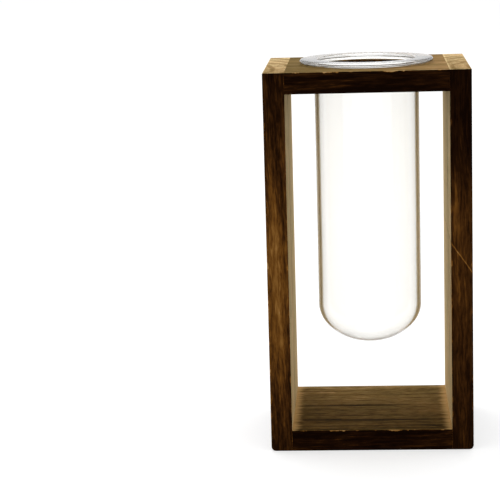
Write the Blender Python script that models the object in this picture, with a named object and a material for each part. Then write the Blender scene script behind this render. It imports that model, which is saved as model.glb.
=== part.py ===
"""Hydroponic vase: a round-bottomed glass tube hung by its flared lip in a wooden box frame.

The frame stands on Z = 0 with its front towards -Y. Two full-height posts hold a top rail and
a bottom rail between them, with two hidden dowels in each butt joint. The tube drops into the
top rail's hole from above and lifts straight out along +Z.
"""

import math

import bmesh
import bpy
from mathutils import Matrix, Vector

MM = 0.001

# Frame, outside sizes
FRAME_WIDTH = 100 * MM
FRAME_DEPTH = 84 * MM
FRAME_HEIGHT = 188 * MM

# Boards
POST_THICKNESS = 10.5 * MM
TOP_RAIL_THICKNESS = 10.5 * MM
BOTTOM_RAIL_THICKNESS = 10.5 * MM
EDGE_EASE = 0.4 * MM
FOOT_ROUND = 2.2 * MM
GLUE_GAP = 0.3 * MM

# Dowels, on the middle of each rail's thickness
DOWEL_DIAMETER = 5 * MM
DOWEL_IN_POST = 6.5 * MM
DOWEL_IN_RAIL = 9 * MM
DOWEL_INSET = 16 * MM
DOWEL_CHAMFER = 0.6 * MM
SOCKET_CLEARANCE = 0.3 * MM
SOCKET_END_ROOM = 0.5 * MM

# Glass tube
TUBE_DIAMETER = 52.5 * MM
TUBE_WALL = 1.8 * MM
TUBE_LENGTH = 144.4 * MM
DOME_HEIGHT = 19.7 * MM
LIP_OVERHANG = 7 * MM
LIP_FILLET = 0.8 * MM
LIP_CLIMB = math.radians(4.2)
LIP_EDGE_THICKNESS = 2.15 * MM
MOUTH_ROUND = 0.85 * MM

# Hole in the top rail
HOLE_CLEARANCE = 0.5 * MM
HOLE_CHAMFER = 0.6 * MM
SEAT_GAP = 0.3 * MM

# Facets of the round shapes
TUBE_SIDES = 64
DOWEL_SIDES = 20
DOME_STEPS = 12
FILLET_STEPS = 5
EDGE_STEPS = 10
FOOT_STEPS = 5
EASE_STEPS = 2

SHARP_ANGLE = math.radians(40)
CUTTER_MARGIN = 1 * MM
WELD_DISTANCE = 0.001 * MM

# Worked out from the sizes above
TUBE_RADIUS = TUBE_DIAMETER / 2
HOLE_RADIUS = TUBE_RADIUS + HOLE_CLEARANCE
POST_INNER_X = FRAME_WIDTH / 2 - POST_THICKNESS
RAIL_END_X = POST_INNER_X - GLUE_GAP
DOWEL_Y = FRAME_DEPTH / 2 - DOWEL_INSET
RAIL_MIDDLE_Z = {
    "top": FRAME_HEIGHT - TOP_RAIL_THICKNESS / 2,
    "bottom": BOTTOM_RAIL_THICKNESS / 2,
}


def clear_scene():
    for obj in list(bpy.data.objects):
        bpy.data.objects.remove(obj, do_unlink=True)


def finish(name, color, roughness, transmission=0.0):
    """A plain Principled BSDF material."""
    material = bpy.data.materials.new(name)
    material.use_nodes = True
    shader = material.node_tree.nodes["Principled BSDF"]
    shader.inputs["Base Color"].default_value = (*color, 1.0)
    shader.inputs["Roughness"].default_value = roughness
    shader.inputs["Metallic"].default_value = 0.0
    shader.inputs["Transmission Weight"].default_value = transmission
    return material


def add_object(name, shape, material=None):
    """Turns a bmesh into a named object, shaded smooth up to its sharp edges."""
    bmesh.ops.recalc_face_normals(shape, faces=shape.faces)
    mesh = bpy.data.meshes.new(name)
    shape.to_mesh(mesh)
    shape.free()
    mesh.shade_smooth()
    mesh.set_sharp_from_angle(angle=SHARP_ANGLE)
    obj = bpy.data.objects.new(name, mesh)
    bpy.context.scene.collection.objects.link(obj)
    if material:
        mesh.materials.append(material)
    return obj


def add_cutter(name, shape):
    cutter = add_object(name, shape)
    cutter.hide_render = True
    cutter.display_type = "WIRE"
    return cutter


def cut(obj, cutter):
    modifier = obj.modifiers.new(cutter.name, "BOOLEAN")
    modifier.operation = "DIFFERENCE"
    modifier.solver = "EXACT"
    modifier.object = cutter


def sharp_edges(shape):
    return [edge for edge in shape.edges if edge.calc_face_angle() > SHARP_ANGLE]


def ease_edges(shape, edges):
    bmesh.ops.bevel(
        shape, geom=edges, affect="EDGES", offset=EDGE_EASE, offset_type="OFFSET",
        segments=EASE_STEPS, profile=0.5, material=-1,
    )


def arc(center, radius, start, end, steps):
    """Points of an arc in a plane, both ends included, with angles in radians."""
    for step in range(steps + 1):
        angle = start + (end - start) * step / steps
        yield center + radius * Vector((math.cos(angle), math.sin(angle)))


def turned(outline):
    """A bmesh made by turning an outline of (radius, height) points once round the Z axis."""
    shape = bmesh.new()
    points = [shape.verts.new((point.x, 0.0, point.y)) for point in outline]
    edges = [shape.edges.new(pair) for pair in zip(points, points[1:])]
    bmesh.ops.spin(
        shape, geom=points + edges, cent=(0, 0, 0), axis=(0, 0, 1),
        angle=2 * math.pi, steps=TUBE_SIDES, use_merge=True,
    )
    bmesh.ops.remove_doubles(shape, verts=shape.verts, dist=WELD_DISTANCE)
    return shape


def make_post(name, side, material):
    """A full-height side board. Its lower outer edge is rounded, and the edges of its inner face
    are left square, where the rails meet it flush. The others are eased.
    """
    outer_x = side * FRAME_WIDTH / 2
    inner_x = side * POST_INNER_X
    foot_center = Vector((outer_x - side * FOOT_ROUND, FOOT_ROUND))
    foot_end = 0.0 if side > 0 else -math.pi
    outline = [Vector((inner_x, FRAME_HEIGHT)), Vector((inner_x, 0.0))]
    outline += arc(foot_center, FOOT_ROUND, -math.pi / 2, foot_end, FOOT_STEPS)
    outline.append(Vector((outer_x, FRAME_HEIGHT)))

    shape = bmesh.new()
    front = shape.faces.new([shape.verts.new((p.x, -FRAME_DEPTH / 2, p.y)) for p in outline])
    extruded = bmesh.ops.extrude_face_region(shape, geom=[front])["geom"]
    back = [item for item in extruded if isinstance(item, bmesh.types.BMVert)]
    bmesh.ops.translate(shape, verts=back, vec=(0, FRAME_DEPTH, 0))
    bmesh.ops.recalc_face_normals(shape, faces=shape.faces)
    middle_x = (outer_x + inner_x) / 2
    outer_edges = [
        edge for edge in sharp_edges(shape)
        if any(side * (vert.co.x - middle_x) > 0 for vert in edge.verts)
    ]
    ease_edges(shape, outer_edges)
    return add_object(name, shape, material)


def make_rail(name, thickness, middle_z, material):
    """A board that spans between the posts, with its long edges eased and its ends square."""
    shape = bmesh.new()
    size = Matrix.Diagonal((2 * RAIL_END_X, FRAME_DEPTH, thickness, 1.0))
    bmesh.ops.create_cube(shape, size=1.0, matrix=Matrix.Translation((0, 0, middle_z)) @ size)
    long_edges = [edge for edge in shape.edges if edge.verts[0].co.x * edge.verts[1].co.x < 0]
    ease_edges(shape, long_edges)
    return add_object(name, shape, material)


def make_hole_cutter():
    """A spool that bores the top rail's hole and chamfers both of its rims."""
    flare = HOLE_RADIUS + HOLE_CHAMFER + CUTTER_MARGIN
    top = FRAME_HEIGHT
    underside = FRAME_HEIGHT - TOP_RAIL_THICKNESS
    outline = [
        Vector((0.0, underside - CUTTER_MARGIN)),
        Vector((flare, underside - CUTTER_MARGIN)),
        Vector((HOLE_RADIUS, underside + HOLE_CHAMFER)),
        Vector((HOLE_RADIUS, top - HOLE_CHAMFER)),
        Vector((flare, top + CUTTER_MARGIN)),
        Vector((0.0, top + CUTTER_MARGIN)),
    ]
    return add_cutter("hole_cutter", turned(outline))


def peg(radius, start_x, end_x, y, z, chamfer=0.0):
    """A round bar along X, with chamfered ends if asked."""
    shape = bmesh.new()
    length = abs(end_x - start_x)
    turn = Matrix.Rotation(math.pi / 2, 4, "Y")
    place = Matrix.Translation(((start_x + end_x) / 2, y, z))
    bmesh.ops.create_cone(
        shape, cap_ends=True, segments=DOWEL_SIDES, radius1=radius, radius2=radius,
        depth=length, matrix=place @ turn,
    )
    if chamfer:
        bmesh.ops.bevel(
            shape, geom=sharp_edges(shape), affect="EDGES", offset=chamfer, offset_type="OFFSET",
            segments=1, profile=0.5, material=-1,
        )
    return shape


def make_dowel(name, side, y, z, material):
    """Adds a dowel, and returns the cutter for its socket, which has room past both ends."""
    post_end = side * (POST_INNER_X + DOWEL_IN_POST)
    rail_end = side * (RAIL_END_X - DOWEL_IN_RAIL)
    bar = peg(DOWEL_DIAMETER / 2, post_end, rail_end, y, z, DOWEL_CHAMFER)
    add_object(name, bar, material)
    room = side * SOCKET_END_ROOM
    socket_radius = DOWEL_DIAMETER / 2 + SOCKET_CLEARANCE
    socket = peg(socket_radius, post_end + room, rail_end - room, y, z)
    return add_cutter(name + "_socket", socket)


def fillet_height():
    """Height of the lip fillet's centre over the rail, with the glass SEAT_GAP off the hole's rim.

    Each edge of the hole's chamfer lies inside the fillet's circle or below the lip's underside.
    """
    reach = LIP_FILLET - SEAT_GAP
    heights = []
    for rim_radius, rim_height in (
        (HOLE_RADIUS + HOLE_CHAMFER, 0.0),
        (HOLE_RADIUS, -HOLE_CHAMFER),
    ):
        outward = rim_radius - TUBE_RADIUS - LIP_FILLET
        if outward < -reach * math.sin(LIP_CLIMB):
            drop = math.sqrt(max(reach**2 - outward**2, 0.0))
        else:
            drop = (reach + outward * math.sin(LIP_CLIMB)) / math.cos(LIP_CLIMB)
        heights.append(rim_height - drop)
    return max(heights)


def dome(radius, height, center_z):
    """Points of a flattened round bottom, from the axis out to the wall."""
    for step in range(DOME_STEPS + 1):
        angle = math.pi / 2 * step / DOME_STEPS
        yield Vector((radius * math.sin(angle), center_z - height * math.cos(angle)))


def tube_outline():
    """The glass wall's section, from the axis up the outside, over the lip and down the inside.

    The lip's underside climbs a little, its top is flat, and its edge is a full round.
    Heights are measured from the top face of the top rail.
    """
    edge_radius = LIP_EDGE_THICKNESS / 2
    inner_radius = TUBE_RADIUS - TUBE_WALL
    fillet_center = Vector((TUBE_RADIUS + LIP_FILLET, fillet_height()))
    lip_start = math.pi / 2 + LIP_CLIMB
    along = Vector((math.cos(LIP_CLIMB), math.sin(LIP_CLIMB)))
    under = Vector((math.sin(LIP_CLIMB), -math.cos(LIP_CLIMB)))
    flat_start = fillet_center - (LIP_FILLET + edge_radius) * under
    flat_length = (TUBE_RADIUS + LIP_OVERHANG - edge_radius - flat_start.x) / along.x
    lip_end = flat_start + flat_length * along
    lip_top = lip_end.y + edge_radius
    mouth_center = Vector((inner_radius + MOUTH_ROUND, lip_top - MOUTH_ROUND))
    dome_center_z = lip_top - TUBE_LENGTH + DOME_HEIGHT

    outline = list(dome(TUBE_RADIUS, DOME_HEIGHT, dome_center_z))
    outline += arc(fillet_center, LIP_FILLET, math.pi, lip_start, FILLET_STEPS)
    outline += arc(lip_end, edge_radius, LIP_CLIMB - math.pi / 2, math.pi / 2, EDGE_STEPS)
    outline += arc(mouth_center, MOUTH_ROUND, math.pi / 2, math.pi, FILLET_STEPS)
    inside = dome(inner_radius, DOME_HEIGHT - TUBE_WALL, dome_center_z)
    outline += reversed(list(inside))
    return outline


def make_tube(material):
    """The tube's origin is on its lift axis, at the rail's top face."""
    tube = add_object("glass_tube", turned(tube_outline()), material)
    tube.location = (0, 0, FRAME_HEIGHT)


def main():
    clear_scene()
    wood = finish("dark stained wood", (0.105, 0.058, 0.028), 0.55)
    dowel_wood = finish("pale dowel wood", (0.55, 0.40, 0.24), 0.7)
    glass = finish("clear glass", (0.95, 0.98, 0.96), 0.02, transmission=1.0)

    posts = {
        "left": make_post("left_post", -1, wood),
        "right": make_post("right_post", 1, wood),
    }
    rails = {
        "top": make_rail("top_rail", TOP_RAIL_THICKNESS, RAIL_MIDDLE_Z["top"], wood),
        "bottom": make_rail("bottom_rail", BOTTOM_RAIL_THICKNESS, RAIL_MIDDLE_Z["bottom"], wood),
    }
    cut(rails["top"], make_hole_cutter())

    for level, rail in rails.items():
        for side_name, side in (("left", -1), ("right", 1)):
            for depth_name, y in (("front", -DOWEL_Y), ("back", DOWEL_Y)):
                name = f"dowel_{level}_{side_name}_{depth_name}"
                socket = make_dowel(name, side, y, RAIL_MIDDLE_Z[level], dowel_wood)
                cut(posts[side_name], socket)
                cut(rail, socket)

    make_tube(glass)


main()
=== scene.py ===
import math

import bmesh
import bpy
from mathutils import Matrix, Vector


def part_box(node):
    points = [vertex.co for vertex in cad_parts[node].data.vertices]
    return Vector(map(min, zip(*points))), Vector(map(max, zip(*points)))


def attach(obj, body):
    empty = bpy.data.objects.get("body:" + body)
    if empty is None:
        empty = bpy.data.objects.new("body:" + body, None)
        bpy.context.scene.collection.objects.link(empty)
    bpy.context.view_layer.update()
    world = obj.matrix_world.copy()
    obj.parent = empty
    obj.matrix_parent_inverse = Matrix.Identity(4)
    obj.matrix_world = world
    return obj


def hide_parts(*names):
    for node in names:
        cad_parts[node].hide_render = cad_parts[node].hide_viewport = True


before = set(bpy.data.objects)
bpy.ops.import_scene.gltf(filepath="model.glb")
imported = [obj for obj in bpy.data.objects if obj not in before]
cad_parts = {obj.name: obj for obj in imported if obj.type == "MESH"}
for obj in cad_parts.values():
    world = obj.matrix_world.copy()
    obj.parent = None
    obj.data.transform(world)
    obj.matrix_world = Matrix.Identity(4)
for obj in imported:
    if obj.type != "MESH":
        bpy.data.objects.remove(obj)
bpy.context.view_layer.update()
mm = 0.001


def feed(tree, socket, value):
    if isinstance(value, bpy.types.NodeSocket):
        tree.links.new(value, socket)
    else:
        socket.default_value = value


def calc(tree, operation, first, second=0.0, third=0.0):
    node = tree.nodes.new("ShaderNodeMath")
    node.operation = operation
    for socket, value in zip(node.inputs, (first, second, third)):
        feed(tree, socket, value)
    return node.outputs[0]


def vectorCalc(tree, operation, first, second=(0, 0, 0)):
    node = tree.nodes.new("ShaderNodeVectorMath")
    node.operation = operation
    feed(tree, node.inputs[0], first)
    feed(tree, node.inputs[1], second)
    return node.outputs["Value" if operation in ("DOT_PRODUCT", "LENGTH") else "Vector"]


def splitVector(tree, vector):
    node = tree.nodes.new("ShaderNodeSeparateXYZ")
    feed(tree, node.inputs["Vector"], vector)
    return node.outputs["X"], node.outputs["Y"], node.outputs["Z"]


def fade(tree, value, low, high, smooth=True):
    # 0 at low, 1 at high, eased between them
    node = tree.nodes.new("ShaderNodeMapRange")
    node.interpolation_type = "SMOOTHSTEP" if smooth else "LINEAR"
    feed(tree, node.inputs["Value"], value)
    node.inputs["From Min"].default_value = low
    node.inputs["From Max"].default_value = high
    return node.outputs["Result"]


def placed(tree, vector, shift=(0, 0, 0), turn=(0, 0, 0), stretch=(1, 1, 1)):
    node = tree.nodes.new("ShaderNodeMapping")
    feed(tree, node.inputs["Vector"], vector)
    node.inputs["Location"].default_value = shift
    node.inputs["Rotation"].default_value = [math.radians(angle) for angle in turn]
    node.inputs["Scale"].default_value = stretch
    return node.outputs["Vector"]


def noise(tree, vector, look):
    # a stretch under 1 draws the pattern out along Z
    node = tree.nodes.new("ShaderNodeTexNoise")
    drawn = placed(tree, vector, stretch=(1, 1, look["stretch"]))
    feed(tree, node.inputs["Vector"], drawn)
    node.inputs["Scale"].default_value = look["scale"]
    node.inputs["Detail"].default_value = look["detail"]
    node.inputs["Roughness"].default_value = look["roughness"]
    return node.outputs


def ramp(tree, value, stops):
    node = tree.nodes.new("ShaderNodeValToRGB")
    feed(tree, node.inputs["Fac"], value)
    elements = node.color_ramp.elements
    while len(elements) < len(stops):
        elements.new(0.5)
    for element, (position, colour) in zip(elements, stops):
        element.position = position
        element.color = (*colour, 1.0)
    return node.outputs["Color"]


def mix(tree, factor, first, second, blend="MIX"):
    node = tree.nodes.new("ShaderNodeMix")
    node.data_type = "RGBA"
    node.blend_type = blend
    feed(tree, node.inputs["Factor"], factor)
    feed(tree, node.inputs["A"], first)
    feed(tree, node.inputs["B"], second)
    return node.outputs["Result"]


def addBump(tree, shader, height, strength, distance):
    node = tree.nodes.new("ShaderNodeBump")
    node.inputs["Strength"].default_value = strength
    node.inputs["Distance"].default_value = distance
    feed(tree, node.inputs["Height"], height)
    feed(tree, shader.inputs["Normal"], node.outputs["Normal"])


def newMaterial(name):
    material = bpy.data.materials.new(name)
    material.use_nodes = True
    tree = material.node_tree
    return material, tree, tree.nodes["Principled BSDF"]


def newPiece(name, mesh):
    data = bpy.data.meshes.new(name)
    mesh.to_mesh(data)
    mesh.free()
    piece = bpy.data.objects.new(name, data)
    bpy.context.scene.collection.objects.link(piece)
    return piece


def grey(level):
    return (level, level, level)


alongX = (0, -90, 0)
alongZ = (0, 0, 0)
upward = (0, 0, 1)

# a tone from 0, darkest, to 1, lightest, runs through the colours of stained faces
stainStops = [
    (0.00, (0.005, 0.0016, 0.0006)),
    (0.20, (0.017, 0.0058, 0.0016)),
    (0.40, (0.057, 0.0206, 0.0046)),
    (0.60, (0.152, 0.0595, 0.0100)),
    (0.80, (0.290, 0.1370, 0.0320)),
    (1.00, (0.480, 0.3000, 0.1300)),
]

# or through those of the paler faces: wood worn by rubbing, made lighter still by painted light on
# the top and the inner faces
rubbedAndLitStops = [
    (0.00, (0.020, 0.0100, 0.0022)),
    (0.25, (0.076, 0.0420, 0.0095)),
    (0.50, (0.172, 0.1060, 0.0340)),
    (0.75, (0.330, 0.2180, 0.0980)),
    (1.00, (0.700, 0.5350, 0.2950)),
]

# a lighter colour for the ends of a board
lighterEndStops = [
    (0.00, (0.30, 0.170, 0.056)),
    (0.50, (0.50, 0.310, 0.120)),
    (1.00, (0.72, 0.490, 0.230)),
]

# the paler faces are olive in some patches and warm in others
hueStops = [
    (0.35, (0.955, 1.01, 0.97)),
    (0.75, (1.060, 0.98, 0.91)),
]

# noise along the grain, in every board
grainNoise = {
    "wander": {"stretch": 0.22, "scale": 70, "detail": 2, "roughness": 0.50},
    "fibres": {"stretch": 0.09, "scale": 1200, "detail": 4, "roughness": 0.65},
    "flecks": {"stretch": 0.30, "scale": 620, "detail": 2, "roughness": 0.70},
    "streaks": {"stretch": 0.05, "scale": 480, "detail": 3, "roughness": 0.60},
    "figure": {"stretch": 0.07, "scale": 130, "detail": 3, "roughness": 0.50},
    "pores": {"stretch": 0.05, "scale": 2600, "detail": 2, "roughness": 0.50},
    "lines": {"stretch": 0.02, "scale": 640, "detail": 3, "roughness": 0.60},
    "patches": {"stretch": 0.50, "scale": 62, "detail": 3, "roughness": 0.60},
}

growthRings = {
    "unitSpacing": 0.314,  # of the wave texture at scale 1
    "stretch": 0.06,
    "distortion": 2.5,
    "detail": 3.0,
    "detailScale": 0.5,
    "late": (0.62, 1.0),  # the dark part of a ring
}

# the value at which a pattern leaves the tone alone
restingValue = {
    "rings": 0.5,
    "late": 0.2,
    "figure": 0.5,
    "streaks": 0.5,
    "fibres": 0.5,
    "flecks": 0.5,
    "lines": 0.5,
    "patches": 0.5,
    "pores": 0.0,
    "checks": 0.0,
}

# what all the boards share
woodFinish = {
    "pores": (0.58, 0.70),
    "checks": (0.33, 0.29),
    "stainTones": {"pores": -0.10, "checks": -0.10},
    "paleTones": {"figure": 0.30, "patches": 0.32, "fibres": 0.60, "pores": -0.09},
    "bandSway": {"figure": 4 * mm},
    "paleFacing": (0.35, 0.80),  # cosines of the turn away from a pale side
    # a painted highlight where eased edges turn between faces
    "easeStarts": (0.30, 0.65),
    "easeEnds": (0.88, 0.98),
    "easeHighlightTone": 0.30,
    "crackSway": {"figure": 5 * mm, "flecks": 1.5 * mm},
    "crackCore": 0.2,  # part of its width that is darkest
    "crackRun": 0.5,  # part of its reach before it thins out
    "warmTones": {"streaks": 0.3},
    "lighterEndTones": {"fibres": 1.2},
    "roughness": 0.62,
    "roughFibres": 0.22,
    "roughPores": 0.12,
    "specular": 0.01,
    "specularTint": (1.0, 0.70, 0.42, 1),
    "relief": {"rings": 0.2, "fibres": 0.8, "pores": -0.5, "wear": -0.8},
    "bump": 0.35,
    "bumpDistance": 0.15 * mm,
}

# knocks and rubbing along the edges
edgeRub = {
    "noise": {"stretch": 1, "scale": 140, "detail": 5, "roughness": 0.7},
    "patches": (0.48, 0.74),
    "least": 0.2 * mm,
    "more": 1.2 * mm,
    "soft": 0.45 * mm,
    "hiddenEnd": 10 * mm,  # moves a rail's ends, which the posts cover, out of reach
}


def addTone(tree, tone, value, rest, amount):
    # moves the tone up or down as a pattern leaves its resting value
    return calc(tree, "MULTIPLY_ADD", calc(tree, "SUBTRACT", value, rest), amount, tone)


def addTones(tree, tone, wood, amounts):
    for kind, amount in amounts.items():
        tone = addTone(tree, tone, wood[kind], restingValue[kind], amount)
    return tone


def readWood(tree, board):
    # the measures and patterns that a board's colours are made from
    coordinates = tree.nodes.new("ShaderNodeTexCoord")
    low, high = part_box(board["node"])
    middle = (low + high) / 2
    half = (high - low) / 2
    wood = {
        "half": half,
        "halfLength": half.x if board["turn"] == alongX else half.z,
        "normal": coordinates.outputs["Normal"],
    }

    # the board's own place, middle at zero, then turned so that the grain runs along Z
    wood["local"] = placed(tree, coordinates.outputs["Object"], shift=-middle)
    along = placed(tree, wood["local"], turn=board["turn"])
    wood["x"], wood["y"], wood["z"] = splitVector(tree, along)
    grain = placed(tree, along, shift=board["pith"], turn=board["drift"])

    # a scarf joint: another piece of wood starts on the far side of a slanting glue line
    if "scarf" in board:
        scarf = board["scarf"]
        fromPoint = vectorCalc(tree, "SUBTRACT", along, scarf["point"])
        side = vectorCalc(tree, "DOT_PRODUCT", fromPoint, scarf["slope"])
        wood["glueLine"] = fade(tree, calc(tree, "ABSOLUTE", side), *scarf["glueWidth"])
        far = calc(tree, "LESS_THAN", side, 0.0)
        shift = vectorCalc(tree, "MULTIPLY", scarf["otherPith"], far)
        grain = vectorCalc(tree, "ADD", grain, shift)

    # the grain sways slowly on its way along the board
    wander = noise(tree, grain, grainNoise["wander"])["Color"]
    sway = vectorCalc(tree, "SUBTRACT", wander, grey(0.5))
    sway = vectorCalc(tree, "MULTIPLY", sway, (board["wander"], board["wander"], 0))
    bent = vectorCalc(tree, "ADD", grain, sway)

    # growth rings about the log's middle
    wave = tree.nodes.new("ShaderNodeTexWave")
    wave.wave_type = "RINGS"
    wave.rings_direction = "Z"
    drawn = placed(tree, bent, stretch=(1, 1, growthRings["stretch"]))
    feed(tree, wave.inputs["Vector"], drawn)
    wave.inputs["Scale"].default_value = growthRings["unitSpacing"] / board["ringSpacing"]
    wave.inputs["Distortion"].default_value = growthRings["distortion"]
    wave.inputs["Detail"].default_value = growthRings["detail"]
    wave.inputs["Detail Scale"].default_value = growthRings["detailScale"]
    wood["rings"] = wave.outputs["Fac"]
    wood["late"] = fade(tree, wood["rings"], *growthRings["late"])

    # fine fibres, short flecks, longer streaks, broad light and dark figure, fine lines and
    # patches, then open pores and long dark checks
    for kind in ("fibres", "flecks", "streaks", "figure", "lines", "patches"):
        wood[kind] = noise(tree, bent, grainNoise[kind])["Fac"]
    pores = noise(tree, bent, grainNoise["pores"])["Fac"]
    wood["pores"] = fade(tree, pores, *woodFinish["pores"])
    wood["checks"] = fade(tree, wood["lines"], *woodFinish["checks"])
    return wood


def stainTone(tree, board, wood):
    # stain, darker or lighter along the board, with its own bands along the grain; along the posts
    # the change also paints light and shade: painted light through the middle, painted shade at
    # the foot and the top
    way = fade(tree, wood["z"], -wood["halfLength"], wood["halfLength"], smooth=False)
    tone = ramp(tree, way, [(at, grey(level)) for at, level in board["stainAndLightAlong"]])
    for band in board["bands"]:
        across = calc(tree, "MULTIPLY_ADD", wood["z"], band["lean"], band["at"])
        across = calc(tree, "SUBTRACT", wood["x"], across)
        across = addTones(tree, across, wood, woodFinish["bandSway"])
        inside = fade(tree, calc(tree, "ABSOLUTE", across), band["width"] / 2, 0.0)
        start, end, taper = band["from"], band["to"], band["taper"]
        begun = fade(tree, wood["z"], start - taper, start + taper)
        unfinished = fade(tree, wood["z"], end + taper, end - taper)
        inside = calc(tree, "MULTIPLY", inside, begun)
        inside = calc(tree, "MULTIPLY", inside, unfinished)
        tone = addTone(tree, tone, inside, 0.0, band["tone"])
    tone = addTones(tree, tone, wood, board["stainTones"])
    tone = addTones(tree, tone, wood, woodFinish["stainTones"])
    if "bore" in board:
        # the stain hardly took on the wall of the hole
        bore = board["bore"]
        flat = vectorCalc(tree, "MULTIPLY", wood["local"], (1, 1, 0))
        fromAxis = vectorCalc(tree, "LENGTH", flat)
        wall = fade(tree, fromAxis, bore["radius"] + bore["soft"], bore["radius"])
        tone = addTone(tree, tone, wall, 0.0, bore["tone"])
    return tone


def paleTone(tree, board, wood):
    # pale faces, the top and the posts' inner faces: partly wood worn by rubbing, partly painted
    # light where light falls on them; palest where their edges are eased, which is a painted
    # highlight
    mask = 0.0
    tone = 0.0
    for direction, level in board["pale"]:
        facing = vectorCalc(tree, "DOT_PRODUCT", wood["normal"], direction)
        turned = fade(tree, facing, *woodFinish["paleFacing"])
        mask = calc(tree, "ADD", mask, turned)
        tone = calc(tree, "MULTIPLY_ADD", turned, level, tone)
        # a painted highlight on the eased edge between this face and the next
        eased = fade(tree, facing, *woodFinish["easeStarts"])
        flat = fade(tree, facing, *woodFinish["easeEnds"])
        tone = addTone(tree, tone, eased, flat, woodFinish["easeHighlightTone"])
    if "sandedSeam" in board:
        # sanded paler on top, beside the seam with the rail
        seam = board["sandedSeam"]
        aside = calc(tree, "ABSOLUTE", calc(tree, "SUBTRACT", wood["x"], seam["at"]))
        facing = vectorCalc(tree, "DOT_PRODUCT", wood["normal"], upward)
        onTop = fade(tree, facing, *woodFinish["paleFacing"])
        strip = calc(tree, "MULTIPLY", fade(tree, aside, seam["width"], seam["core"]), onTop)
        tone = addTone(tree, tone, strip, 0.0, seam["tone"])
    # painted light: the pale faces get lighter towards the back, where the light comes from
    toBack = board.get("paintedBackLight", 0.0) / wood["half"].y
    tone = calc(tree, "MULTIPLY_ADD", wood["y"], toBack, tone)
    toEnd = board.get("paleAlong", 0.0) / wood["halfLength"]
    tone = calc(tree, "MULTIPLY_ADD", wood["z"], toEnd, tone)
    tone = addTones(tree, tone, wood, board["paleTones"])
    tone = addTones(tree, tone, wood, woodFinish["paleTones"])
    for crack in board.get("cracks", []):
        aside = calc(tree, "SUBTRACT", wood["y"], crack["at"])
        aside = addTones(tree, aside, wood, woodFinish["crackSway"])
        core = woodFinish["crackCore"] * crack["width"]
        dark = fade(tree, calc(tree, "ABSOLUTE", aside), crack["width"], core)
        off = calc(tree, "ABSOLUTE", calc(tree, "SUBTRACT", wood["z"], crack["middle"]))
        run = fade(tree, off, crack["reach"], woodFinish["crackRun"] * crack["reach"])
        dark = calc(tree, "MULTIPLY", dark, run)
        tone = addTone(tree, tone, dark, 0.0, crack["tone"])
    return mask, tone


def lighterEnds(tree, board, wood):
    # a lighter colour with a ragged border at both ends of the board
    if "lighterEnds" not in board:
        return 0.0
    endLook = board["lighterEnds"]
    toEnd = calc(tree, "SUBTRACT", wood["halfLength"], calc(tree, "ABSOLUTE", wood["z"]))
    border = addTones(tree, endLook["reach"], wood, endLook["rag"])
    return fade(tree, calc(tree, "SUBTRACT", toEnd, border), *endLook["fade"])


def edgeDistance(tree, local, half):
    # how far a point of the surface is from the board's nearest edge
    own = splitVector(tree, local)
    inset = [calc(tree, "SUBTRACT", half[i], calc(tree, "ABSOLUTE", own[i])) for i in range(3)]
    nearest = calc(tree, "MINIMUM", inset[0], inset[1])
    farther = calc(tree, "MAXIMUM", inset[0], inset[1])
    return calc(tree, "MAXIMUM", nearest, calc(tree, "MINIMUM", farther, inset[2]))


def edgeWear(tree, board, wood):
    isRail = board["turn"] == alongX
    half = wood["half"]
    if isRail:
        half = half + Vector((edgeRub["hiddenEnd"], 0, 0))
    edge = edgeDistance(tree, wood["local"], half)
    rub = fade(tree, noise(tree, wood["local"], edgeRub["noise"])["Fac"], *edgeRub["patches"])
    reach = calc(tree, "MULTIPLY_ADD", rub, edgeRub["more"], edgeRub["least"])
    wear = fade(tree, calc(tree, "SUBTRACT", reach, edge), 0.0, edgeRub["soft"])
    if isRail:
        # only the upper edges of a rail get knocked
        height = vectorCalc(tree, "DOT_PRODUCT", wood["local"], upward)
        wear = calc(tree, "MULTIPLY", wear, fade(tree, height, 0.0, half.z / 2))
    return wear


def stainedWood(name, board):
    material, tree, shader = newMaterial(name)
    wood = readWood(tree, board)
    wood["wear"] = edgeWear(tree, board, wood)
    stain = stainTone(tree, board, wood)
    stain = addTone(tree, stain, wood["wear"], 0.0, board["wearTone"])
    paleAndLitMask, pale = paleTone(tree, board, wood)
    if "glueLine" in wood:
        stain = addTone(tree, stain, wood["glueLine"], 0.0, board["scarf"]["stainTone"])
        pale = addTone(tree, pale, wood["glueLine"], 0.0, board["scarf"]["paleTone"])

    # stained wood, then the paler faces, worn by rubbing and given painted light, then the lighter
    # ends
    warm = calc(tree, "ADD", wood["patches"], board.get("warmth", 0.0))
    warm = addTones(tree, warm, wood, woodFinish["warmTones"])
    toEnd = board.get("warmAlong", 0.0) / wood["halfLength"]
    warm = calc(tree, "MULTIPLY_ADD", wood["z"], toEnd, warm)
    hue = ramp(tree, warm, hueStops)
    rubbedAndLit = mix(tree, 1.0, ramp(tree, pale, rubbedAndLitStops), hue, "MULTIPLY")
    endLook = ramp(tree, addTones(tree, 0.5, wood, woodFinish["lighterEndTones"]), lighterEndStops)
    withEnds = mix(tree, lighterEnds(tree, board, wood), rubbedAndLit, endLook)
    colour = mix(tree, paleAndLitMask, ramp(tree, stain, stainStops), withEnds)
    feed(tree, shader.inputs["Base Color"], colour)

    rough = woodFinish["roughness"]
    rough = calc(tree, "MULTIPLY_ADD", wood["fibres"], woodFinish["roughFibres"], rough)
    rough = calc(tree, "MULTIPLY_ADD", wood["pores"], woodFinish["roughPores"], rough)
    feed(tree, shader.inputs["Roughness"], rough)
    shader.inputs["Specular IOR Level"].default_value = woodFinish["specular"]
    shader.inputs["Specular Tint"].default_value = woodFinish["specularTint"]
    relief = 0.0
    for kind, amount in woodFinish["relief"].items():
        relief = calc(tree, "MULTIPLY_ADD", wood[kind], amount, relief)
    addBump(tree, shader, relief, woodFinish["bump"], woodFinish["bumpDistance"])
    return material


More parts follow.
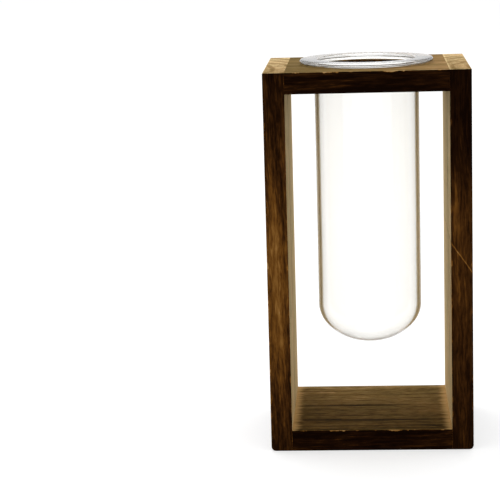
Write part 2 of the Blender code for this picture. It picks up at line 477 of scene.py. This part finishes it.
leftPost = {
    "node": "left_post",
    "turn": alongZ,
    "pith": (0.054, 0.026, 0.0),  # the board's middle, seen from that of the log
    "drift": (1.2, 1.6, 0),  # degrees between the grain and the board
    "wander": 5 * mm,
    "ringSpacing": 8.6 * mm,
    "stainAndLightAlong": [  # from the bottom up; painted light through the middle, painted shade at the foot and the top
        (0.0, 0.23), (0.10, 0.34), (0.30, 0.575), (0.55, 0.65), (0.75, 0.36), (1.0, 0.16),
    ],
    "bands": [
        {"at": 4.4 * mm, "lean": -0.02, "width": 9 * mm,
         "from": -90 * mm, "to": 40 * mm, "taper": 16 * mm, "tone": -0.12},
    ],
    "stainTones": {"rings": 0.10, "figure": 0.15, "streaks": 0.28, "fibres": 0.85, "flecks": 0.35},
    "wearTone": 0.30,
    "pale": [(upward, 0.77), ((1, 0, 0), 0.99)],
    "paleTones": {"late": -0.18, "flecks": 0.15, "lines": 0.40, "checks": -0.05},
    "paintedBackLight": 0.09,
}

rightPost = {
    "node": "right_post",
    "turn": alongZ,
    "pith": (-0.051, 0.030, 0.21),
    "drift": (-0.9, 1.1, 0),
    "wander": 5 * mm,
    "ringSpacing": 8.0 * mm,
    # from the bottom up; painted light through the middle, painted shade at the foot and the top
    "stainAndLightAlong": [
        (0.0, 0.14), (0.15, 0.22), (0.40, 0.305), (0.62, 0.305), (0.84, 0.09), (1.0, 0.03),
    ],
    "bands": [
        {"at": -1.6 * mm, "lean": -0.02, "width": 4.2 * mm,
         "from": 4 * mm, "to": 44 * mm, "taper": 14 * mm, "tone": 0.22},
        {"at": 3.0 * mm, "lean": 0.0, "width": 6 * mm,
         "from": -20 * mm, "to": 50 * mm, "taper": 18 * mm, "tone": 0.12},
    ],
    "stainTones": {"rings": 0.08, "figure": 0.28, "streaks": 0.45, "fibres": 0.70, "flecks": 0.25},
    "wearTone": 0.30,
    "scarf": {
        "point": (-5.25 * mm, 0.0, 10.0 * mm),
        "slope": (0.82, 0.0, 0.574),
        "otherPith": (0.017, 0.023, 0.31),
        "glueWidth": (0.42 * mm, 0.1 * mm),
        "stainTone": 0.30,
        "paleTone": -0.16,
    },
    "pale": [(upward, 0.77), ((-1, 0, 0), 1.0)],
    "paleTones": {"late": -0.12, "flecks": 0.15, "lines": 0.40, "checks": -0.05},
    "paintedBackLight": 0.09,
    "sandedSeam": {"at": -5.25 * mm, "width": 1.0 * mm, "core": 0.3 * mm, "tone": 0.13},
    "warmth": 0.05,
}

topRail = {
    "node": "top_rail",
    "turn": alongX,
    "pith": (0.038, 0.052, 0.43),
    "drift": (0.6, 0.9, 0),
    "wander": 4 * mm,
    "ringSpacing": 6.3 * mm,
    "stainAndLightAlong": [(0.0, 0.14), (0.5, 0.11), (1.0, 0.10)],
    "bands": [],
    "stainTones": {"rings": 0.08, "figure": 0.45, "streaks": 0.90, "fibres": 0.75, "flecks": 0.25},
    "wearTone": 0.80,
    "bore": {"radius": 27.5 * mm, "soft": 0.2 * mm, "tone": 0.30},
    "pale": [(upward, 0.55)],
    "paleTones": {"late": -0.08, "flecks": 0.25, "lines": 0.55, "checks": -0.20},
    "paleAlong": 0.08,
    "warmAlong": 0.22,
}

bottomRail = {
    "node": "bottom_rail",
    "turn": alongX,
    "pith": (0.029, -0.066, 0.77),
    "drift": (-0.7, 1.0, 0),
    "wander": 6 * mm,
    "ringSpacing": 9.0 * mm,
    "stainAndLightAlong": [(0.0, 0.08), (0.5, 0.05), (1.0, 0.04)],
    "bands": [],
    "stainTones": {"rings": 0.10, "figure": 0.45, "streaks": 1.00, "fibres": 0.75, "flecks": 0.25},
    "wearTone": 0.80,
    "pale": [(upward, 0.36)],
    "paleTones": {"late": -0.05, "flecks": 0.55, "lines": 0.60, "checks": -0.32},
    "paintedBackLight": 0.15,
    "cracks": [
        {"at": 3.0 * mm, "middle": -12 * mm, "reach": 36 * mm, "width": 2.1 * mm, "tone": -0.21},
        {"at": -24.0 * mm, "middle": -8 * mm, "reach": 40 * mm, "width": 1.6 * mm, "tone": -0.36},
        {"at": 29.0 * mm, "middle": 14 * mm, "reach": 22 * mm, "width": 1.6 * mm, "tone": -0.16},
    ],
    "lighterEnds": {
        "reach": 1.3 * mm,
        "rag": {"lines": 8 * mm, "fibres": -7 * mm},
        "fade": (3.2 * mm, -1.6 * mm),
    },
}

boardWood = {}
for board in (leftPost, rightPost, topRail, bottomRail):
    wood = stainedWood(board["node"] + "Wood", board)
    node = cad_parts[board["node"]]
    node.data.materials.clear()
    node.data.materials.append(wood)
    boardWood[board["node"]] = wood
print("wood on the four boards")


# glue and sanding dust close the seams round both ends of a rail
seams = {
    "width": 0.28 * mm,
    "depth": 1.5 * mm,
    "ease": 0.4 * mm,
    "easeSteps": 2,
}


def makeSeams(name, rail, post, look):
    low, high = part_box(rail)
    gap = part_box(post)[0].x - high.x
    mesh = bmesh.new()
    size = Matrix.Diagonal((high.z - low.z, high.y - low.y, 1, 1))
    place = Matrix.Translation((high.x + (gap - look["width"]) / 2, 0, (low.z + high.z) / 2))
    upright = Matrix.Rotation(math.pi / 2, 4, "Y")
    bmesh.ops.create_grid(mesh, x_segments=1, y_segments=1, size=0.5,
                          matrix=place @ upright @ size)
    bmesh.ops.bevel(mesh, geom=mesh.verts[:], affect="VERTICES", offset=look["ease"],
                    segments=look["easeSteps"], profile=0.5, material=-1)
    bmesh.ops.inset_region(mesh, faces=mesh.faces[:], thickness=look["depth"],
                           use_boundary=True, use_even_offset=True)
    middle = max(mesh.faces, key=lambda face: face.calc_area())
    bmesh.ops.delete(mesh, geom=[middle], context="FACES")
    grown = bmesh.ops.extrude_face_region(mesh, geom=mesh.faces[:], use_keep_orig=True)["geom"]
    moved = [item for item in grown if isinstance(item, bmesh.types.BMVert)]
    bmesh.ops.translate(mesh, vec=(look["width"], 0, 0), verts=moved)
    bmesh.ops.mirror(mesh, geom=mesh.verts[:] + mesh.edges[:] + mesh.faces[:], axis="X",
                     merge_dist=0)
    bmesh.ops.recalc_face_normals(mesh, faces=mesh.faces[:])
    piece = newPiece(name, mesh)
    piece.data.materials.append(boardWood[rail])
    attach(piece, "frame")


makeSeams("topSeams", "top_rail", "right_post", seams)
makeSeams("bottomSeams", "bottom_rail", "right_post", seams)
print("seams closed")


dowels = {
    "tone": 0.66,
    "fibres": {"stretch": 0.03, "scale": 1500, "detail": 4, "roughness": 0.6},
    "fibreTone": 0.16,
    "bands": {"stretch": 0.05, "scale": 0.5 / (1.3 * mm), "detail": 2, "roughness": 0.5},
    "bandTone": 0.2,
    "roughness": 0.5,
    "roughFibres": 0.2,
    "bump": 0.3,
    "bumpDistance": 0.1 * mm,
}


def dowelWood(name, look):
    material, tree, shader = newMaterial(name)
    coordinates = tree.nodes.new("ShaderNodeTexCoord")
    along = placed(tree, coordinates.outputs["Object"], turn=alongX)
    fibres = noise(tree, along, look["fibres"])["Fac"]
    bands = noise(tree, along, look["bands"])["Fac"]
    tone = calc(tree, "MULTIPLY_ADD", fibres, look["fibreTone"], look["tone"])
    tone = calc(tree, "MULTIPLY_ADD", bands, look["bandTone"], tone)
    feed(tree, shader.inputs["Base Color"], ramp(tree, tone, stainStops))
    rough = calc(tree, "MULTIPLY_ADD", fibres, look["roughFibres"], look["roughness"])
    feed(tree, shader.inputs["Roughness"], rough)
    addBump(tree, shader, fibres, look["bump"], look["bumpDistance"])
    return material


paleDowel = dowelWood("paleDowel", dowels)
for name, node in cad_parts.items():
    if name.startswith("dowel"):
        node.data.materials.clear()
        node.data.materials.append(paleDowel)
print("wood on the dowels")


glass = {
    "outerRadius": 26.25 * mm,
    "wall": 1.8 * mm,
    "bottomWall": 1.0 * mm,  # blown thinner at the bottom
    "bottom": 46.408 * mm,  # its lowest point, above the table
    "domeHeight": 19.7 * mm,
    "filletCentre": (27.05 * mm, 187.4765 * mm),
    "fillet": 0.8 * mm,
    "climb": math.radians(4.2),  # of the lip's underside
    "lipRadius": 33.25 * mm,
    "lipEdge": 2.15 * mm,
    "mouthRound": 0.85 * mm,
    "domeSteps": 20,
    "filletSteps": 10,
    "lipSteps": 16,
    "mouthSteps": 10,
    "turnSteps": 192,
    "mergeWithin": 0.002 * mm,
    "colour": (0.989, 0.985, 0.968, 1),
    "ior": 1.52,
    "smudge": {"stretch": 1, "scale": 90, "detail": 4, "roughness": 0.6},
    "smudgePatches": (0.55, 0.8),
    "smudgeRoughness": 0.04,
    "swell": {"stretch": 0.4, "scale": 60, "detail": 1, "roughness": 0.4},
    "bump": 0.15,
    "bumpDistance": 0.3 * mm,
}


def turnPoint(mesh, point, centre, angle, steps):
    # swings the outline's last point about a centre and leaves an arc behind it
    swung = bmesh.ops.spin(mesh, geom=[point], cent=(centre[0], 0, centre[1]), axis=(0, 1, 0),
                           angle=angle, steps=steps, use_duplicate=False)
    return next(item for item in swung["geom_last"] if isinstance(item, bmesh.types.BMVert))


def drawPoint(mesh, point, x, z):
    # runs a straight line from the outline's last point
    drawn = bmesh.ops.extrude_vert_indiv(mesh, verts=[point])["verts"][0]
    drawn.co = (x, 0, z)
    return drawn


def squashDome(mesh, verts, domeZ, amount):
    squash = Matrix.Diagonal((1, 1, amount, 1))
    fromDome = Matrix.Translation((0, 0, -domeZ))
    bmesh.ops.transform(mesh, matrix=squash, space=fromDome, verts=verts)


def makeGlass(look):
    mesh = bmesh.new()
    outer = look["outerRadius"]
    inner = outer - look["wall"]
    domeZ = look["bottom"] + look["domeHeight"]
    innerDome = look["domeHeight"] - look["bottomWall"]
    filletX, filletZ = look["filletCentre"]
    climb = look["climb"]
    out = Vector((math.cos(climb), math.sin(climb)))
    under = Vector((out.y, -out.x))
    edge = look["lipEdge"] / 2
    mouth = look["mouthRound"]
    quarter = math.pi / 2

    # outside: round bottom squashed to the dome's height, straight side, fillet and lip
    point = mesh.verts.new((0, 0, domeZ - outer))
    point = turnPoint(mesh, point, (0, domeZ), -quarter, look["domeSteps"])
    squashDome(mesh, mesh.verts[:], domeZ, look["domeHeight"] / outer)
    point = drawPoint(mesh, point, outer, filletZ)
    point = turnPoint(mesh, point, (filletX, filletZ), quarter - climb, look["filletSteps"])
    lipX = look["lipRadius"] - edge
    start = Vector((filletX, filletZ)) - (look["fillet"] + edge) * under
    lip = start + out * (lipX - start.x) / out.x
    below = lip + edge * under
    point = drawPoint(mesh, point, *below)
    point = turnPoint(mesh, point, lip, climb - math.pi, look["lipSteps"])

    # inside: back over the flat top, round the mouth and down to the bottom
    lipTop = lip.y + edge
    mouthX = inner + mouth
    point = drawPoint(mesh, point, mouthX, lipTop)
    point = turnPoint(mesh, point, (mouthX, lipTop - mouth), -quarter, look["mouthSteps"])
    point = drawPoint(mesh, point, inner, domeZ)
    before = set(mesh.verts)
    turnPoint(mesh, point, (0, domeZ), quarter, look["domeSteps"])
    added = [vert for vert in mesh.verts if vert not in before]
    squashDome(mesh, added, domeZ, innerDome / inner)

    bmesh.ops.spin(mesh, geom=mesh.verts[:] + mesh.edges[:], cent=(0, 0, 0), axis=(0, 0, 1),
                   angle=2 * math.pi, steps=look["turnSteps"], use_merge=True, use_duplicate=False)
    bmesh.ops.remove_doubles(mesh, verts=mesh.verts[:], dist=look["mergeWithin"])
    bmesh.ops.recalc_face_normals(mesh, faces=mesh.faces[:])
    for face in mesh.faces:
        face.smooth = True
    return newPiece("glassTube", mesh)


def clearGlass(name, look):
    material, tree, shader = newMaterial(name)
    coordinates = tree.nodes.new("ShaderNodeTexCoord")
    shader.inputs["Base Color"].default_value = look["colour"]
    shader.inputs["Transmission Weight"].default_value = 1.0
    shader.inputs["IOR"].default_value = look["ior"]
    smudge = noise(tree, coordinates.outputs["Object"], look["smudge"])["Fac"]
    smudge = fade(tree, smudge, *look["smudgePatches"])
    rough = calc(tree, "MULTIPLY", smudge, look["smudgeRoughness"])
    feed(tree, shader.inputs["Roughness"], rough)
    swell = noise(tree, coordinates.outputs["Object"], look["swell"])["Fac"]
    addBump(tree, shader, swell, look["bump"], look["bumpDistance"])
    return material


glassTube = makeGlass(glass)
glassTube.data.materials.append(clearGlass("clearGlass", glass))
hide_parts("glass_tube")
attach(glassTube, "tube")
print("glass tube", len(glassTube.data.polygons), "faces")


def seen(tree):
    # 1 for rays from the camera, straight, mirrored or through glass
    path = tree.nodes.new("ShaderNodeLightPath").outputs
    bent = calc(tree, "MAXIMUM", path["Is Glossy Ray"], path["Is Transmission Ray"])
    return calc(tree, "MAXIMUM", path["Is Camera Ray"], bent)


def turnedInGlass(tree):
    # 1 once a ray has turned back inside the glass, so that the tube's walls stand out from white
    path = tree.nodes.new("ShaderNodeLightPath").outputs
    turned = calc(tree, "MINIMUM", path["Glossy Depth"], 1.0)
    through = calc(tree, "MINIMUM", path["Transmission Depth"], 1.0)
    return calc(tree, "MULTIPLY", turned, through)


floorLook = {
    "size": 9.0,
    "segments": 6,
    "colour": grey(0.60),
    "roughness": 0.9,
    "glow": 0.50,
    "farGlow": 0.44,
    "farFade": (3.8, 1.2),
    "glassDim": 0.42,
}


def makeFloor(look):
    mesh = bmesh.new()
    bmesh.ops.create_grid(mesh, x_segments=look["segments"], y_segments=look["segments"],
                          size=look["size"] / 2)
    floor = newPiece("floor", mesh)
    material, tree, shader = newMaterial("paleFloor")
    shader.inputs["Roughness"].default_value = look["roughness"]
    shader.inputs["Specular IOR Level"].default_value = 0.0
    shader.inputs["Emission Color"].default_value = (1, 1, 1, 1)
    plain = calc(tree, "MULTIPLY_ADD", turnedInGlass(tree), -look["glassDim"], 1.0)
    pale = vectorCalc(tree, "MULTIPLY", look["colour"], plain)
    feed(tree, shader.inputs["Base Color"], pale)
    # far off it falls to the world's white, so that no horizon shows through the glass
    coordinates = tree.nodes.new("ShaderNodeTexCoord")
    distance = vectorCalc(tree, "LENGTH", coordinates.outputs["Object"])
    near = fade(tree, distance, *look["farFade"])
    glow = calc(tree, "MULTIPLY_ADD", near, look["glow"] - look["farGlow"], look["farGlow"])
    glow = calc(tree, "MULTIPLY", seen(tree), glow)
    feed(tree, shader.inputs["Emission Strength"], calc(tree, "MULTIPLY", glow, plain))
    floor.data.materials.append(material)
    return floor


floor = makeFloor(floorLook)


studio = {
    "front": 0.85,
    "back": 1.0,
    "backward": (0, 1, 0.5),
    "backFade": (-0.5, 0.6),
    "glassDim": 0.22,
    "skyFade": (0.25, 0.05),  # glassDim holds for low rays only
    "keyPlace": (-0.15, 0.55, 1.3),
    "keyAim": (0, 0, 0.1),
    "keySize": 1.1,
    "keyPower": 7.0,
}


def makeLight(look):
    world = bpy.data.worlds.new("studio")
    world.use_nodes = True
    bpy.context.scene.world = world
    tree = world.node_tree
    back = tree.nodes["Background"]
    back.inputs["Color"].default_value = (1, 1, 1, 1)
    coordinates = tree.nodes.new("ShaderNodeTexCoord")
    direction = coordinates.outputs["Generated"]

    # white where it is seen, a soft light from the back elsewhere
    toBack = vectorCalc(tree, "DOT_PRODUCT", direction, look["backward"])
    soft = fade(tree, toBack, *look["backFade"])
    soft = calc(tree, "MULTIPLY_ADD", soft, look["back"] - look["front"], look["front"])
    rest = calc(tree, "SUBTRACT", 1.0, seen(tree))
    level = calc(tree, "MULTIPLY_ADD", soft, rest, seen(tree))
    toSky = vectorCalc(tree, "DOT_PRODUCT", direction, upward)
    turned = calc(tree, "MULTIPLY", turnedInGlass(tree), fade(tree, toSky, *look["skyFade"]))
    dim = calc(tree, "MULTIPLY_ADD", turned, -look["glassDim"], 1.0)
    feed(tree, back.inputs["Strength"], calc(tree, "MULTIPLY", level, dim))

    lamp = bpy.data.lights.new("softbox", "AREA")
    lamp.shape = "SQUARE"
    lamp.size = look["keySize"]
    lamp.energy = look["keyPower"]
    softbox = bpy.data.objects.new("softbox", lamp)
    softbox.location = look["keyPlace"]
    aim = Vector(look["keyAim"]) - Vector(look["keyPlace"])
    softbox.rotation_euler = aim.to_track_quat("-Z", "Y").to_euler()
    bpy.context.scene.collection.objects.link(softbox)


makeLight(studio)
print("floor and light")


# fitted to the edges of the frame in the photograph
cameraLook = {
    "place": (-0.4 * mm, -927.7 * mm, 272.0 * mm),
    "pan": -3.72,  # degrees
    "tilt": 10.84,
    "roll": -1.61,
    "focalPixels": 1854.7,
    "imagePixels": 500,
    "sensor": 36.0,
    "clipStart": 0.05,
    "clipEnd": 50,
}


def makeCamera(look):
    data = bpy.data.cameras.new("camera")
    data.sensor_width = look["sensor"]
    data.lens = look["focalPixels"] * look["sensor"] / look["imagePixels"]
    data.clip_start = look["clipStart"]
    data.clip_end = look["clipEnd"]
    camera = bpy.data.objects.new("camera", data)
    bpy.context.scene.collection.objects.link(camera)
    pan = Matrix.Rotation(math.radians(-look["pan"]), 4, "Z")
    tilt = Matrix.Rotation(math.radians(90 - look["tilt"]), 4, "X")
    roll = Matrix.Rotation(math.radians(look["roll"]), 4, "Z")
    camera.matrix_world = Matrix.Translation(look["place"]) @ pan @ tilt @ roll
    bpy.context.scene.camera = camera


makeCamera(cameraLook)
print("camera")

bpy.context.scene.view_settings.view_transform = "Standard"
# light turns back many times inside a glass rim
bpy.context.scene.cycles.max_bounces = 32
bpy.context.scene.cycles.glossy_bounces = 16
bpy.context.scene.cycles.transmission_bounces = 24
